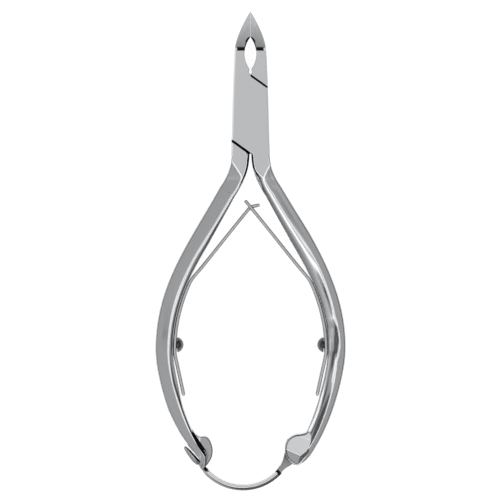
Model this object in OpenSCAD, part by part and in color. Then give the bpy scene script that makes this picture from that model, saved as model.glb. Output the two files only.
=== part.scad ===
// Cuticle nipper with a lap joint, double leaf springs and a swinging handle latch.
// Frame: the tool lies on its back. +Y points to the jaw tips, +X to the right, +Z up,
// and the origin is on the pivot axis where it meets the surface the tool lies on.
// It is drawn latched: the jaws are closed and every joint is at zero.

/* [Head] */
// Thickness of the head, both laps together
head_t = 5.6; // [5.2:0.1:6.2]
// Width of the head across the pivot
head_w = 9.1; // [8.6:0.1:9.8]
// Distance from the pivot axis to the jaw tips
jaw_reach = 25.5; // [24.5:0.5:27]
// Length of the cutting edges
edge_len = 6.4; // [5.6:0.2:7]
// Widest opening of the throat below the cutting edges
throat_w = 3; // [2.4:0.1:3.2]
// Radius of the relief hole under the throat
relief_r = 0.45; // [0.35:0.05:0.55]
// Thickness of the jaws at their tips
tip_t = 1; // [0.8:0.1:1.6]
// Radius of the wheel that hollow-grinds the jaws
grind_r = 32; // [24:1:60]

/* [Lap joint] */
// Gap between the sliding faces of the two laps
lap_gap = 0.08; // [0.04:0.02:0.12]
// Gap between the closed cutting edges
edge_gap = 0.08; // [0.06:0.02:0.2]
// Width of the seam under the right jaw
jaw_seam = 0.36; // [0.3:0.02:0.5]
// Width of the seam above the left handle
handle_seam = 0.46; // [0.36:0.02:0.6]
// Radius of the pivot rivet's shank
rivet_r = 1.8; // [1.5:0.1:2]
// Radius of the rivet's countersunk head
rivet_head_r = 2.5; // [2.3:0.1:3]
// Radial running clearance of the rivet in the back half
rivet_play = 0.05; // [0.03:0.01:0.08]

/* [Handles] */
// Distance from the middle to the handle's centre line at its widest part
bow_x = 21.6; // [20.6:0.2:22.6]
// Distance from the pivot down to the widest part
bow_y = 59; // [58:1:60]
// Depth of a handle, front to back
handle_d = 5.4; // [5:0.1:5.6]
// Radius of the knob at the end of each handle
knob_r = 3.8; // [3.5:0.1:4]
// Depth of a knob, front to back
knob_d = 4.9; // [4.6:0.1:5.2]

/* [Springs] */
// Thickness of the spring strip
leaf_t = 0.85; // [0.6:0.05:0.9]
// Width of the spring strip
leaf_w = 3; // [2.6:0.1:3.2]
// Width of the tongue on the left spring
tongue_w = 1.2; // [1:0.1:1.4]
// Width of the slot in the right spring
slot_w = 1.6; // [1.5:0.1:1.8]
// Radius of a spring screw's domed head
screw_head_r = 1.93; // [1.7:0.01:2.1]
// Height of a spring screw's domed head
screw_head_h = 1.55; // [1.3:0.05:1.6]
// Radius of a spring screw's shank
screw_r = 0.9; // [0.7:0.05:1]

/* [Latch] */
// Centre-line radius of the latch bar
latch_r = 12.45; // [12.3:0.05:12.6]
// Thickness of the latch bar in the plane of the tool
latch_t = 1.4; // [1.2:0.05:1.5]
// Depth of the latch bar, front to back
latch_d = 3; // [2.8:0.1:3.2]
// Depth of the latch where it passes through the forked handle ends
neck_d = 1.6; // [1.4:0.1:1.7]
// Depth of the slots in the forked handle ends
fork_gap = 2; // [1.9:0.05:2.1]
// Radius of the latch's hinge pin
pin_r = 0.75; // [0.6:0.05:0.9]
// Radial running clearance of the hinge pin in the latch
pin_play = 0.05; // [0.03:0.01:0.08]

/* [Hidden] */
$fn = 64;
mid = head_t / 2;
FAR = 60;
half_w = head_w / 2;

// Jaw outline: the step where the hollow grind starts, and the throat above the relief hole
step_y = 16.3;
throat_top = jaw_reach - edge_len;
throat_low = 10.5;
relief_y = 10.1;
throat_half = (throat_top - throat_low) / 2;
throat_arc_r = (pow(throat_half, 2) + pow(throat_w / 2, 2)) / throat_w;

// Seams of the front lap, as straight lines from the middle out to the side
jaw_seam_y = 9.3;
jaw_seam_angle = -35.5;
handle_seam_y = -10.35;
handle_seam_angle = -36;
notch_y = -10.8;

// Handle centre line: root in the head, knee where it runs straight, widest part, end
root = [2.55, -10.5];
knee = [5.85, -19.7];
knee_angle = 29;
bow = [bow_x, -bow_y];
end = [12.3, -85.5];
end_angle = -55;
handle_rings = [8, 20, 16];
// Handle thickness at stations along the centre line, where each segment counts as one
handle_stations = [[0, 4.6], [1, 4.6], [1.3, 5.2], [1.6, 4.8], [2, 4.5], [2.5, 4.2], [2.8, 3.8], [3, 4]];
// Handle section, as fractions of thickness and depth: flat inside, crowned near it, tapered outside
half_section = [[-0.5, 0.3], [-0.47, 0.4], [-0.38, 0.48], [-0.28, 0.5], [0.15, 0.43], [0.34, 0.36],
                [0.45, 0.25], [0.5, 0.1]];

// Knobs at the handle ends, and the latch's hinge in the right one
right_knob = [12.35, -84.1];
left_knob = [-12.9, -84.2];
hinge = [12.2, -83.9];

// Outline kept at the end of the left handle: ground away outside, pointed below
left_end_keep = [[-30, -70], [-17.15, -80.6], [-12.85, -85.9], [-12.7, -87.1], [-12.35, -88.8],
                 [-11.4, -87.9], [-9, -88.5], [0, -84], [0, -70]];
// Plate that carries on from the left handle into the nose that the latch closes on
left_nose = [[-17.15, -80.6], [-12.85, -85.9], [-12.7, -87.1], [-12.35, -88.8], [-11.4, -87.25],
             [-11.1, -85.75], [-14.4, -79.4], [-16, -78]];

// Springs: their crossing, where they bend, the stretch that lies on the handle, and the tail
cross_y = -23.5;
spring_bend = [12.4, -38.9];
spring_lean = 39.5;
seat_from = 1.58;
seat_to = 2.06;
seat_gap = 0.04;
tail = [16.6, -70.7];

// Latch bar: arc centre and the angles of its two shoulders
latch_centre = [-1.85, -81.2];
left_shoulder = 221;
right_shoulder = 317.5;
tab_root = [-13.1, -87.45];
tab_tip = [-16.5, -83.5];
// Degrees of latch swing for each degree that the jaws open
latch_ratio = 10;
nose_tip = [-12.35, -88.8];

// Point and unit direction on a cubic Bezier curve with four control points
function bezier(p, t) = pow(1 - t, 3) * p[0] + 3 * pow(1 - t, 2) * t * p[1]
    + 3 * (1 - t) * t * t * p[2] + pow(t, 3) * p[3];
function slope(p, t) = pow(1 - t, 2) * (p[1] - p[0]) + 2 * (1 - t) * t * (p[2] - p[1])
    + t * t * (p[3] - p[2]);
function unit(v) = v / norm(v);
// Direction that leans outwards by an angle while it heads down the tool
function down(angle) = [sin(angle), -cos(angle)];
function left_normal(d) = [-d.y, d.x];

// Points of an arc, used where an outline has a round stretch
function arc(centre, r, from, to, steps) =
    [for (i = [0:steps]) let (a = from + (to - from) * i / steps) centre + r * [cos(a), sin(a)]];

// ---- handles ----

handle_path = [
    [root, root - [0, 5], knee - 0.5 * down(knee_angle), knee],
    [knee, knee + 15.7 * down(knee_angle), bow + [0, 15.5], bow],
    [bow, bow - [0, 8], end - 4.7 * down(end_angle), end]
];

// Every ring station: [segment, parameter, running station]
function stations(last) = [
    for (s = [0:2])
        for (i = [(s == 0 ? 0 : 1):handle_rings[s]])
            if (s + i / handle_rings[s] <= last) [s, i / handle_rings[s], s + i / handle_rings[s]]
];

section = concat(half_section,
    [for (i = [len(half_section) - 1:-1:0]) [half_section[i].x, -half_section[i].y]]);

function ring(st) =
    let (p = handle_path[st[0]],
         at = bezier(p, st[1]),
         out = left_normal(unit(slope(p, st[1]))),
         thick = lookup(st[2], handle_stations))
    [for (q = section) [at.x + out.x * q.x * thick, at.y + out.y * q.x * thick, mid + q.y * handle_d]];

// Right handle swept along its centre line, up to the given station
module handle_sweep(last) {
    rings = [for (st = stations(last)) ring(st)];
    n = len(section);
    m = len(rings);
    sides = [for (j = [0:m - 2]) for (i = [0:n - 1])
        [j * n + i, j * n + (i + 1) % n, (j + 1) * n + (i + 1) % n, (j + 1) * n + i]];
    triangles = [for (f = sides) each [[f[0], f[1], f[2]], [f[0], f[2], f[3]]]];
    caps = [[for (i = [n - 1:-1:0]) i], [for (i = [0:n - 1]) (m - 1) * n + i]];
    polyhedron([for (r = rings) each r], concat(triangles, caps), convexity = 8);
}

// Forged knob with chamfered rims
module knob(at) {
    rim = 0.7;
    translate([at.x, at.y, mid])
        rotate_extrude()
            polygon([[0, -knob_d / 2], [knob_r - rim, -knob_d / 2], [knob_r, -knob_d / 2 + rim],
                     [knob_r, knob_d / 2 - rim], [knob_r - rim, knob_d / 2], [0, knob_d / 2]]);
}

// Slab of the fork's depth, for slots in the handle ends
module fork_slab(points) {
    translate([0, 0, mid - fork_gap / 2])
        linear_extrude(fork_gap)
            polygon(points);
}

// ---- head ----

// Right side of the head from the tip to the start of the handle
jaw_side = [[0, jaw_reach], [2.3, 21.6], [half_w - 0.75, 18.2], [half_w - 0.6, step_y - 0.7]];
side_points = concat(
    [for (i = [0:12]) bezier(jaw_side, i / 12)],
    [[half_w - 0.25, 8.6], [half_w, 0], [half_w + 0.1, -4], [half_w + 0.45, -10], [half_w + 0.6, -12.6],
     [2.3, -15.5], [1.17, -15.4], [0.66, -13.9], [0.35, -12.4], [0.3, notch_y]]
);

module head_outline() {
    difference() {
        polygon(concat(side_points,
            [for (i = [len(side_points) - 1:-1:1]) [-side_points[i].x, side_points[i].y]]));
        throat();
    }
}

// Pointed oval throat with its relief hole
module throat() {
    intersection() {
        translate([throat_arc_r - throat_w / 2, (throat_top + throat_low) / 2])
            circle(throat_arc_r, $fn = 180);
        translate([-throat_arc_r + throat_w / 2, (throat_top + throat_low) / 2])
            circle(throat_arc_r, $fn = 180);
    }
    translate([0, relief_y])
        circle(relief_r);
    translate([-relief_r * 0.6, relief_y])
        square([relief_r * 1.2, 1]);
}

// Everything on the right above the jaw seam; a positive inset shrinks the zone
module jaw_zone(inset) {
    shift = inset / cos(jaw_seam_angle);
    polygon([[edge_gap / 2 * sign(inset), FAR], [edge_gap / 2 * sign(inset), jaw_seam_y + shift],
             [FAR, jaw_seam_y + shift + FAR * tan(jaw_seam_angle)], [FAR, FAR]]);
}

// Everything on the left below the handle seam; a positive inset shrinks the zone
module handle_zone(inset) {
    shift = inset / cos(handle_seam_angle);
    polygon([[-inset, -FAR], [-inset, handle_seam_y - shift],
             [-FAR, handle_seam_y - shift - FAR * tan(handle_seam_angle)], [-FAR, -FAR]]);
}

// Seen from the side, the jaws thin to their tips and carry the hollow grind on the front
module head_profile() {
    tip_back = mid - tip_t * 0.6;
    tip_front = tip_back + tip_t;
    step_drop = 0.9;
    rise = [jaw_reach - step_y, tip_front - (head_t - step_drop)];
    back_start = 8;
    // The grind is an arc of the wheel through the foot of the step and the tip
    half_chord = norm(rise) / 2;
    sag = sqrt(pow(grind_r, 2) - pow(half_chord, 2));
    centre = [step_y, head_t - step_drop] + rise / 2 + sag * left_normal(unit(rise));
    a0 = atan2(head_t - step_drop - centre.y, step_y - centre.x);
    a1 = atan2(tip_front - centre.y, jaw_reach - centre.x);
    polygon(concat(
        [[-FAR, 0], [back_start, 0]],
        arc([back_start, 45], 45, -90, -90 + 11, 6),
        [[jaw_reach + 1, tip_back - 0.2], [jaw_reach + 1, tip_front - 0.2]],
        arc(centre, grind_r, a1, a0, 12),
        [[step_y - 0.9, head_t], [-FAR, head_t]]
    ));
}

module head_envelope() {
    rotate([90, 0, 90])
        translate([0, 0, -FAR])
            linear_extrude(2 * FAR)
                head_profile();
}

// One half of the head before it is thinned, as the front half has it: its jaw is on the left
module half_head() {
    translate([0, 0, mid + lap_gap / 2])
        linear_extrude(mid - lap_gap / 2)
            difference() {
                head_outline();
                jaw_zone(-jaw_seam / 2);
                handle_zone(-handle_seam / 2);
            }
    linear_extrude(mid + lap_gap)
        intersection() {
            head_outline();
            mirror([1, 0])
                union() {
                    jaw_zone(jaw_seam / 2);
                    handle_zone(handle_seam / 2);
                }
        }
}

// ---- spring parts ----

// Point on the spring's centre line where the strip lies on the right handle's inner face
function seat(st) =
    let (p = handle_path[floor(st)], t = st - floor(st))
    bezier(p, t) - left_normal(unit(slope(p, t))) * (lookup(st, handle_stations) / 2 + leaf_t / 2 + seat_gap);
function seat_dir(st) = unit(seat(st + 0.01) - seat(st - 0.01));

screw_station = 1.976;
seat_x = seat(screw_station).x;
screw_y = seat(screw_station).y;
lift_off = [spring_bend, spring_bend + 2 * down(spring_lean),
    seat(seat_from) - 1.6 * seat_dir(seat_from), seat(seat_from)];
free_arm = [[0, cross_y], [4.3, cross_y - 5.2], spring_bend - 5 * down(spring_lean), spring_bend];

// Outline of a strip that starts with the given lead-in points and follows the spring's centre line
function strip_line(lead) = concat(
    lead,
    [for (i = [1:10]) bezier(free_arm, i / 10)],
    [for (i = [1:5]) bezier(lift_off, i / 5)],
    [for (i = [1:12]) seat(seat_from + (seat_to - seat_from) * i / 12)],
    [tail]
);
function heading(line, i) = unit(line[min(i + 1, len(line) - 1)] - line[max(i - 1, 0)]);
function strip(line, t) = concat(
    [for (i = [0:len(line) - 1]) line[i] + left_normal(heading(line, i)) * t / 2],
    [for (i = [len(line) - 1:-1:0]) line[i] - left_normal(heading(line, i)) * t / 2]
);

module leaf(lead, w) {
    translate([0, 0, mid - w / 2])
        linear_extrude(w)
            polygon(strip(strip_line(lead), leaf_t));
}

// Hole through strip and handle for a spring screw, on the right side
module screw_hole(r, from, to) {
    translate([from, screw_y, mid])
        rotate([0, 90, 0])
            cylinder(h = to - from, r = r);
}

// Slotted round-head screw on the right side, its head towards the middle
module spring_screw() {
    dome_r = (pow(screw_head_r, 2) + pow(screw_head_h, 2)) / (2 * screw_head_h);
    // The strip is hollow under the head, so the head's rim stands a little off its middle
    face = seat_x - leaf_t / 2 - 0.16;
    shank = 3.7;
    slot_deep = 0.6;
    difference() {
        union() {
            intersection() {
                translate([face - screw_head_h + dome_r, screw_y, mid])
                    sphere(dome_r);
                translate([face - 2 * dome_r, screw_y - 5, mid - 5])
                    cube([2 * dome_r, 10, 10]);
            }
            screw_hole(screw_r, face - 0.2, face + shank);
        }
        translate([face - screw_head_h - 1, screw_y - 5, mid - 0.25])
            cube([1 + slot_deep, 10, 0.5]);
    }
}

// ---- the nodes ----

// Left jaw, front lap and right handle, with the fork that holds the latch
module front_half() {
    color("silver")
        difference() {
            union() {
                intersection() {
                    half_head();
                    head_envelope();
                }
                handle_sweep(3);
                knob(right_knob);
            }
            translate([0, 0, -1])
                cylinder(h = head_t - 0.8 + 1, r = rivet_r);
            screw_hole(screw_r, 16, seat_x - leaf_t / 2 + 3.6);
            fork_slab([[0, -81.4], [25, -81.4], [25, -95], [0, -95]]);
            translate([hinge.x, hinge.y, -1])
                cylinder(h = head_t + 2, r = pin_r);
        }
}

// Right jaw, back lap and left handle, with the forked nose that the latch closes on
module back_half() {
    color("darkgray")
        difference() {
            union() {
                intersection() {
                    translate([0, 0, head_t])
                        rotate([0, 180, 0])
                            half_head();
                    head_envelope();
                }
                mirror([1, 0, 0])
                    handle_sweep(2.75);
                translate([0, 0, mid - handle_d * 0.46])
                    linear_extrude(handle_d * 0.92)
                        polygon(left_nose);
                intersection() {
                    translate([0, 0, mid])
                        scale(0.94)
                            translate([0, 0, -mid])
                                knob(left_knob / 0.94);
                    linear_extrude(head_t)
                        polygon(left_end_keep);
                }
            }
            translate([0, 0, -1])
                cylinder(h = head_t + 2, r = rivet_r + rivet_play);
            translate([0, 0, -0.01])
                cylinder(h = rivet_head_r - rivet_r + 0.01,
                    r1 = rivet_head_r + rivet_play, r2 = rivet_r + rivet_play);
            mirror([1, 0, 0])
                screw_hole(screw_r, 16, seat_x - leaf_t / 2 + 3.6);
            difference() {
                fork_slab([[-18, -84], [-18, -95], [-5, -95], [-5, -84]]);
                translate([latch_centre.x, latch_centre.y, -1])
                    cylinder(h = head_t + 2, r = latch_r - latch_t / 2 - 0.5, $fn = 96);
            }
        }
}

// Flush rivet: its countersunk head turns in the back half, its shank is pressed into the front half
module pivot_rivet() {
    color("gray")
        union() {
            cylinder(h = head_t - 0.8, r = rivet_r);
            cylinder(h = rivet_head_r - rivet_r, r1 = rivet_head_r, r2 = rivet_r);
        }
}

// Left leaf spring: a narrow tongue at its tip passes through the right spring
module left_spring() {
    shoulder = [1.9, cross_y - 2.3];
    color("lightgray")
        mirror([1, 0, 0])
            difference() {
                leaf([[-2.35, cross_y + 0.55], [-1.2, cross_y + 0.3], [-0.45, cross_y + 0.2]], leaf_w);
                screw_hole(screw_r + 0.1, 10, 25);
                // The strip narrows to its tongue before it reaches the other spring
                for (side = [0, 1])
                    mirror([0, 0, side])
                        translate([-10, shoulder.y, (side == 0 ? mid : -mid) + tongue_w / 2])
                            cube([10 + shoulder.x, 10, leaf_w]);
            }
}

// Right leaf spring: a slot near its square tip takes the tongue of the left spring
module right_spring() {
    color("lightgray")
        difference() {
            leaf([[-1.35, cross_y + 1.65], [-0.65, cross_y + 0.8]], leaf_w);
            screw_hole(screw_r + 0.1, 10, 25);
            translate([-0.6, cross_y - 1.7, mid - slot_w / 2])
                cube([2.2, 2.6, slot_w]);
        }
}

module left_spring_screw() {
    color("dimgray")
        mirror([1, 0, 0])
            spring_screw();
}

module right_spring_screw() {
    color("dimgray")
        spring_screw();
}

// Outline of the latch's bar between two angles, ear and tab
module latch_arc(from, to, steps) {
    polygon(concat(
        arc(latch_centre, latch_r + latch_t / 2, from, to, steps),
        arc(latch_centre, latch_r - latch_t / 2, to, from, steps)
    ));
}

module latch_ear() {
    polygon([[6.6, -89.05], [7.5, -88.1], [8.25, -86.1], [8.75, -84.2], [10.5, -82.4], [12.2, -83.9],
             [12.2, -86.1], [10.3, -87.9], [8.7, -88.95], [7.8, -89.9]]);
}

module latch_tab() {
    along = unit(tab_tip - tab_root);
    len = norm(tab_tip - tab_root);
    bulge = [for (i = [0:8]) sqrt(1.06 - pow(i / 8, 2))];
    polygon(concat(
        [for (i = [0:8]) tab_root + along * len * i / 8 - left_normal(along) * 0.68 * bulge[i]],
        [for (i = [8:-1:0]) tab_root + along * len * i / 8 + left_normal(along) * 0.75 * bulge[i]]
    ));
}

// Zone that the nose's point never enters on its way out, seen from the latch
module clear_of_nose() {
    out = unit([nose_tip.y + latch_ratio * (nose_tip.y - hinge.y),
        -nose_tip.x - latch_ratio * (nose_tip.x - hinge.x)]);
    start = nose_tip + 0.2 * left_normal(out);
    polygon([start - 10 * out, start + 20 * out, start + 20 * out + 20 * left_normal(out),
             start - 10 * out + 20 * left_normal(out)]);
}

module slab(depth) {
    translate([0, 0, mid - depth / 2])
        linear_extrude(depth)
            children();
}

// Curved bar from the hinge ear to the neck and thumb tab
module latch_bar() {
    color("silver")
        difference() {
            union() {
                slab(latch_d)
                    latch_arc(left_shoulder, right_shoulder, 40);
                slab(latch_d)
                    intersection() {
                        latch_tab();
                        clear_of_nose();
                    }
                slab(neck_d)
                    union() {
                        latch_arc(209, left_shoulder + 1, 6);
                        latch_tab();
                        latch_ear();
                    }
                translate([hinge.x, hinge.y, mid - neck_d / 2])
                    cylinder(h = neck_d, r = 2.2);
            }
            translate([hinge.x, hinge.y, -1])
                cylinder(h = head_t + 2, r = pin_r + pin_play);
        }
}

// Hinge pin of the latch, pressed through both sides of the fork
module latch_pin() {
    color("gray")
        translate([hinge.x, hinge.y, mid - knob_d / 2])
            cylinder(h = knob_d, r = pin_r);
}

front_half();
back_half();
pivot_rivet();
left_spring();
right_spring();
left_spring_screw();
right_spring_screw();
latch_bar();
latch_pin();
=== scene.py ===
import bmesh
import bpy
import numpy as np
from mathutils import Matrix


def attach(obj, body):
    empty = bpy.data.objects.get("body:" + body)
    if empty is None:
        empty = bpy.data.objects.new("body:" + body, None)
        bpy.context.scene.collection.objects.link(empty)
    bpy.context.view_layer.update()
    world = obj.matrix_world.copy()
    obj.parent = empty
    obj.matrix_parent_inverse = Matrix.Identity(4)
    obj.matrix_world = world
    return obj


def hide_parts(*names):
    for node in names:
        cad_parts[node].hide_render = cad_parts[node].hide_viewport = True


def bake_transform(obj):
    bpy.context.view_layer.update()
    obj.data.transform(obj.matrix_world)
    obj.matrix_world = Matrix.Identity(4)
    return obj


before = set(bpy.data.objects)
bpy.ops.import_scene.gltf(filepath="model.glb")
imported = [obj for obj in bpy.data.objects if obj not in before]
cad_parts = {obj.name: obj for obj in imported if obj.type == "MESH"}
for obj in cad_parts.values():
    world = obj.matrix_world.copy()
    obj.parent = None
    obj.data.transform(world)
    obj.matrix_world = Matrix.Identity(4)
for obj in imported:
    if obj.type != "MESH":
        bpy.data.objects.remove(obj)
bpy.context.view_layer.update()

# Shapes are worked out in millimetres in the part's own frame: +Y to the jaw tips, +Z up.
MM = 0.001

# ---- driving sizes, as the frame has them ----

HEAD_T = 5.6
MID = HEAD_T / 2
HALF_W = 4.55
JAW_REACH = 25.5
THROAT_TOP, THROAT_LOW, THROAT_W = 19.1, 10.5, 3.0
RELIEF_R, RELIEF_Y = 0.45, 10.1
STEP_Y, STEP_DROP = 16.3, 0.9
TIP_BACK, TIP_FRONT = MID - 0.6, MID + 0.4
GRIND_R = 32.0
LAP_GAP, EDGE_GAP = 0.08, 0.08
BEVEL_SLOPE = np.tan(np.radians(34))
# The two slanted seams: height on the middle line, slope, half-width, and its reach along Y
JAW_SEAM_Y, JAW_SEAM_SLOPE, JAW_GAP = 9.3, np.tan(np.radians(35.5)), 0.18
JAW_SEAM_RISE = JAW_GAP * np.hypot(1, JAW_SEAM_SLOPE)
LEG_SEAM_Y, LEG_SEAM_SLOPE, LEG_GAP = -10.35, np.tan(np.radians(36)), 0.23
LEG_SEAM_RISE = LEG_GAP * np.hypot(1, LEG_SEAM_SLOPE)
RIVET_R, RIVET_HEAD_R, RIVET_COVER = 1.8, 2.5, 0.8
# Running clearance of the rivet in the back half and of the hinge pin in the latch
PLAY = 0.05
# Clearance of a pin that is pressed in
PRESS = 0.01
KNOB_D = 4.9
LEAF_T, LEAF_W, TONGUE_W, SLOT_W = 0.85, 3.0, 1.2, 1.6
CROSS_Y, SEAT_GAP = -23.5, 0.04
SCREW_HEAD_R, SCREW_HEAD_H, SCREW_R = 1.93, 1.55, 0.9
LATCH_CENTRE, LATCH_R, LATCH_T, LATCH_D, NECK_D = np.array([-1.85, -81.2]), 12.45, 1.4, 3.0, 1.6
LEFT_SHOULDER, RIGHT_SHOULDER = 221.0, 317.5
FORK_GAP = 2.0
HINGE = np.array([12.2, -83.9])
# Degrees that the latch swings for each degree that the jaws open
LATCH_RATIO = 10
PIN_R, PIN_TOP = 0.75, 4.6
# Edges sharper than this many degrees stay crisp
CRISP = 32


# ---- meshes ----

def new_piece(name, points, faces):
    """An object whose mesh holds the points, given in millimetres; doubles are merged and faces turned
    outwards."""
    mesh = bpy.data.meshes.new(name)
    mesh.from_pydata((np.asarray(points, float) * MM).tolist(), [], faces)
    work = bmesh.new()
    work.from_mesh(mesh)
    bmesh.ops.remove_doubles(work, verts=work.verts, dist=1e-6)
    bmesh.ops.dissolve_degenerate(work, edges=work.edges, dist=1e-7)
    bmesh.ops.recalc_face_normals(work, faces=work.faces)
    work.to_mesh(mesh)
    work.free()
    piece = bpy.data.objects.new(name, mesh)
    bpy.context.scene.collection.objects.link(piece)
    keep_crisp(piece)
    return piece


def keep_crisp(piece):
    """Smooth shading, except across edges sharper than CRISP."""
    piece.data.shade_smooth()
    piece.data.set_sharp_from_angle(angle=np.radians(CRISP))


def loft(name, rings):
    """Closed loops of points, rings[i, j], joined by quads, and one face over each end."""
    n, m = rings.shape[:2]
    i, j = np.meshgrid(np.arange(n - 1), np.arange(m), indexing="ij")
    k = (j + 1) % m
    quads = np.stack([i * m + j, i * m + k, (i + 1) * m + k, (i + 1) * m + j], axis=-1)
    faces = quads.reshape(-1, 4).tolist() + [list(range(m))[::-1], list(range((n - 1) * m, n * m))]
    return new_piece(name, rings.reshape(-1, 3), faces)


def joined(piece, tools, operation="UNION"):
    """The piece with the tools added to it or, for DIFFERENCE, cut out of it."""
    for tool in tools:
        step = piece.modifiers.new("join", "BOOLEAN")
        step.operation, step.solver, step.object = operation, "MANIFOLD", tool
        whole = piece.evaluated_get(bpy.context.evaluated_depsgraph_get())
        shaped = bpy.data.meshes.new_from_object(whole)
        piece.modifiers.clear()
        old, piece.data = piece.data, shaped
        bpy.data.meshes.remove(old)
        spent = tool.data
        bpy.data.objects.remove(tool)
        bpy.data.meshes.remove(spent)
    piece.data.name = piece.name
    keep_crisp(piece)
    return piece


def inset(outline, distance):
    """A closed outline moved inwards: each point shifts along the mean normal of its two sides."""
    ahead = np.roll(outline, -1, axis=0) - outline
    ahead /= np.linalg.norm(ahead, axis=1)[:, None]
    behind = np.roll(ahead, 1, axis=0)
    normal = np.stack([-(ahead + behind)[:, 1], (ahead + behind)[:, 0]], axis=1)
    normal /= np.maximum((normal**2).sum(axis=1), 0.8)[:, None] / 2
    area = np.sum(outline[:, 0] * np.roll(outline[:, 1], -1) - outline[:, 1] * np.roll(outline[:, 0], -1))
    return outline + normal * distance * np.sign(area)


def plate(name, outline, low, high):
    """A flat outline given depth: the same outline at two heights."""
    return loft(name, np.stack([np.column_stack([outline, np.full(len(outline), z)]) for z in (low, high)]))


def lathe(name, profile, origin, axis, sides=72):
    """A profile of (distance along the axis, radius) turned about the axis that starts at origin."""
    axis = np.asarray(axis, float)
    spoke = np.cross(axis, [0, 0, 1]) if abs(axis[2]) < 0.5 else np.array([1.0, 0, 0])
    turn = np.linspace(0, 2 * np.pi, sides, endpoint=False)[:, None]
    circle = np.cos(turn) * spoke + np.sin(turn) * np.cross(axis, spoke)
    return loft(name, np.stack([np.asarray(origin) + a * axis + r * circle for a, r in profile]))


# ---- curves ----

def bezier(p, t):
    """Cubic Bezier curve through p[0] and p[3], drawn towards p[1] and p[2]."""
    p, t = np.asarray(p, float), np.asarray(t, float)[:, None]
    return (1 - t) ** 3 * p[0] + 3 * (1 - t) ** 2 * t * p[1] + 3 * (1 - t) * t**2 * p[2] + t**3 * p[3]


def headings(line):
    """Unit direction of a line of points at each point."""
    ahead = np.gradient(line, axis=0)
    return ahead / np.linalg.norm(ahead, axis=1)[:, None]


def outward(direction):
    """Directions turned a quarter turn to the left."""
    return np.column_stack([-direction[:, 1], direction[:, 0]])


def arc(centre, radius, start, stop, steps):
    """Points of an arc, angles in degrees."""
    a = np.radians(np.linspace(start, stop, steps + 1))
    return np.asarray(centre) + radius * np.column_stack([np.cos(a), np.sin(a)])


def spread(points, t):
    """Places on a line of straight pieces, where each piece counts as much and t runs from 0 to 1."""
    knots = np.linspace(0, 1, len(points))
    return np.column_stack([np.interp(t, knots, np.asarray(points)[:, k]) for k in (0, 1)])


def down(angle):
    """Unit direction that leans outwards by an angle in degrees while it heads down the tool."""
    return np.array([np.sin(np.radians(angle)), -np.cos(np.radians(angle))])


# A handle's centre line runs from its root in the head over a knee and its widest part, the bow, to its
# end. KNEE_LEAN and END_LEAN are its directions there, in degrees outwards from straight down.
ROOT, KNEE, KNEE_LEAN = np.array([2.55, -10.5]), np.array([5.85, -19.7]), 29
BOW, END, END_LEAN = np.array([21.6, -59.0]), np.array([12.3, -85.5]), -55
HANDLE_PATH = [
    [ROOT, ROOT - [0, 5], KNEE - 0.5 * down(KNEE_LEAN), KNEE],
    [KNEE, KNEE + 15.7 * down(KNEE_LEAN), BOW + [0, 15.5], BOW],
    [BOW, BOW - [0, 8], END - 4.7 * down(END_LEAN), END],
]
# Handle thickness at stations along its centre line, where each stretch counts as one
THICK_AT = [0, 1, 1.3, 1.6, 2, 2.5, 2.8, 3, 3.12]
THICK = [4.6, 4.6, 5.2, 4.8, 4.5, 4.2, 3.8, 4.3, 5.0]


def handle_line(stations):
    """Centre line of the right handle at running stations, one for each of its three Bezier stretches."""
    stretch = np.minimum(np.asarray(stations).astype(int), 2)
    lines = np.stack([bezier(p, stations - k) for k, p in enumerate(HANDLE_PATH)])
    return lines[stretch, np.arange(len(stations))]


def thickness(stations):
    """Thickness of a handle at running stations."""
    return np.interp(stations, THICK_AT, THICK)


# ---- the head ----

def head_side(y):
    """Half-width of the head: a Bezier from the tip, then nearly straight down to the handles."""
    jaw = bezier([[0, JAW_REACH], [2.3, 21.6], [HALF_W - 0.75, 18.2], [HALF_W - 0.6, STEP_Y - 0.7]],
                 np.linspace(0, 1, 200))
    x = np.append(jaw[:, 0], [HALF_W - 0.25, HALF_W, HALF_W + 0.1, ROOT[0] + THICK[0] / 2])
    return np.interp(-y, -np.append(jaw[:, 1], [8.6, 0, -4, ROOT[1]]), x)


def opening(y):
    """Half-width of the gap between the jaws: the throat is the lens between two arcs whose radius is
    (h^2 + w^2) / 2w for half-height h and half-width w; the relief hole is a circle with a slit above."""
    h, w = (THROAT_TOP - THROAT_LOW) / 2, THROAT_W / 2
    r = (h**2 + w**2) / (2 * w)
    lens = np.sqrt(np.maximum(r**2 - (y - THROAT_LOW - h) ** 2, 0)) - (r - w)
    hole = np.sqrt(np.maximum(RELIEF_R**2 - (y - RELIEF_Y) ** 2, 0))
    slit = np.where((y > RELIEF_Y) & (y < RELIEF_Y + 1), RELIEF_R * 0.6, 0)
    return np.maximum.reduce([lens, hole, slit, np.full_like(y, EDGE_GAP / 2)])


def front_height(y):
    """Height of the head's front: flat, a slope of one in one down the step, then the hollow that the
    wheel leaves, an arc of radius GRIND_R from the foot of the step to the tip."""
    foot, tip = np.array([STEP_Y, HEAD_T - STEP_DROP]), np.array([JAW_REACH, TIP_FRONT])
    chord = tip - foot
    half = np.linalg.norm(chord) / 2
    centre = foot + chord / 2 + np.sqrt(GRIND_R**2 - half**2) * np.array([-chord[1], chord[0]]) / (2 * half)
    hollow = centre[1] - np.sqrt(GRIND_R**2 - (np.maximum(y, STEP_Y) - centre[0]) ** 2)
    step = np.interp(y, [STEP_Y - STEP_DROP, STEP_Y], [HEAD_T, HEAD_T - STEP_DROP])
    return np.where(y > STEP_Y, hollow, step)


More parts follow.
